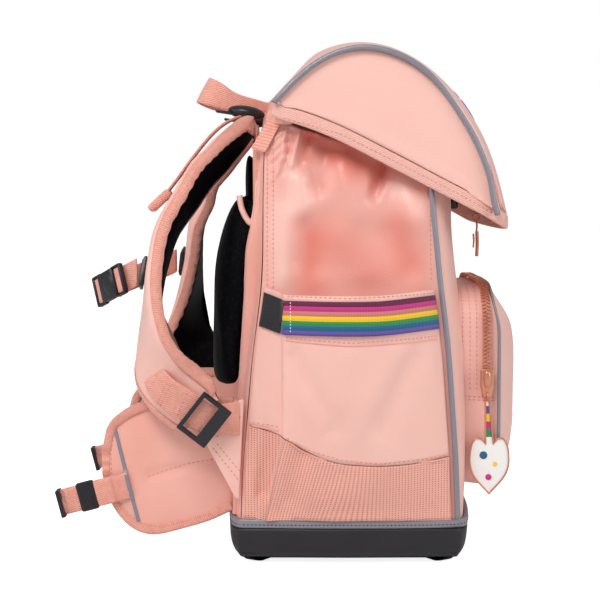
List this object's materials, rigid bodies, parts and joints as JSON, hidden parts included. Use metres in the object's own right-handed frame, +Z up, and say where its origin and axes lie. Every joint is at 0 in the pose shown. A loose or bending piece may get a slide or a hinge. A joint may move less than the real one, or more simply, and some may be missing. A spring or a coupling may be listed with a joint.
{
  "type": "school ransel",
  "caption": "Boxy child's school backpack with a domed flap, moulded base, side pockets, zipped front pocket, padded shoulder straps and hip wings.",
  "frame": {"origin": "middle of the flat foot under the moulded base, on the floor", "axes": "+Z up, the bag's front faces -Y, the wearer's back is on +Y, the wearer's right is +X"},
  "size_m": [0.3138, 0.3631, 0.4014],
  "materials": {
    "coral_fabric": "satin coated",
    "blush_fabric": "satin coated",
    "pink_mesh": "perforated",
    "pink_webbing": "woven",
    "stripe_webbing": "woven rainbow stripes",
    "dark_elastic": "woven",
    "grey_piping": "reflective",
    "black_mesh": "air mesh",
    "dark_plastic": "matt moulded",
    "rose_metal": "polished rose gold",
    "white_enamel": "gloss"
  },
  "bodies": {
    "root": {"side_panel_left": "coral_fabric", "side_panel_right": "coral_fabric", "front_panel": "coral_fabric", "back_panel": "coral_fabric", "shoulder_strap_left": "coral_fabric", "shoulder_strap_right": "coral_fabric", "hip_wing_left": "coral_fabric", "hip_wing_right": "coral_fabric", "anchor_left": "coral_fabric", "anchor_right": "coral_fabric", "front_pocket_gusset": "blush_fabric", "front_pocket_face": "blush_fabric", "flap_top": "blush_fabric", "flap_side_left": "blush_fabric", "flap_side_right": "blush_fabric", "flap_hinge": "blush_fabric", "pocket_fabric_left": "blush_fabric", "pocket_fabric_right": "blush_fabric", "pocket_mesh_left": "pink_mesh", "pocket_mesh_right": "pink_mesh", "flap_binding": "pink_webbing", "grab_handle": "pink_webbing", "chest_webbing": "pink_webbing", "corner_tab_left": "pink_webbing", "corner_tab_right": "pink_webbing", "lifter_webbing_left": "pink_webbing", "lifter_webbing_right": "pink_webbing", "adjuster_webbing_left": "pink_webbing", "adjuster_webbing_right": "pink_webbing", "hip_webbing_left": "pink_webbing", "hip_webbing_right": "pink_webbing", "pocket_band_left": "stripe_webbing", "pocket_band_right": "stripe_webbing", "pocket_tab_left": "dark_elastic", "pocket_tab_right": "dark_elastic", "base_binding": "grey_piping", "front_pocket_piping": "grey_piping", "body_piping_left": "grey_piping", "body_piping_right": "grey_piping", "flap_piping_left": "grey_piping", "flap_piping_right": "grey_piping", "upper_pad": "black_mesh", "hip_pad": "black_mesh", "lumbar_pad_left": "black_mesh", "lumbar_pad_right": "black_mesh", "base_tray": "dark_plastic", "flap_clasp": "dark_plastic", "chest_buckle": "dark_plastic", "chest_slide_left": "dark_plastic", "chest_slide_right": "dark_plastic", "lifter_buckle_left": "dark_plastic", "lifter_buckle_right": "dark_plastic", "adjuster_buckle_left": "dark_plastic", "adjuster_buckle_right": "dark_plastic", "hip_buckle_left": "dark_plastic", "hip_buckle_right": "dark_plastic", "front_pocket_zip": "rose_metal", "zip_slider": "rose_metal", "flap_pull": "rose_metal", "zip_charm": "white_enamel"}
  },
  "joints": []
}
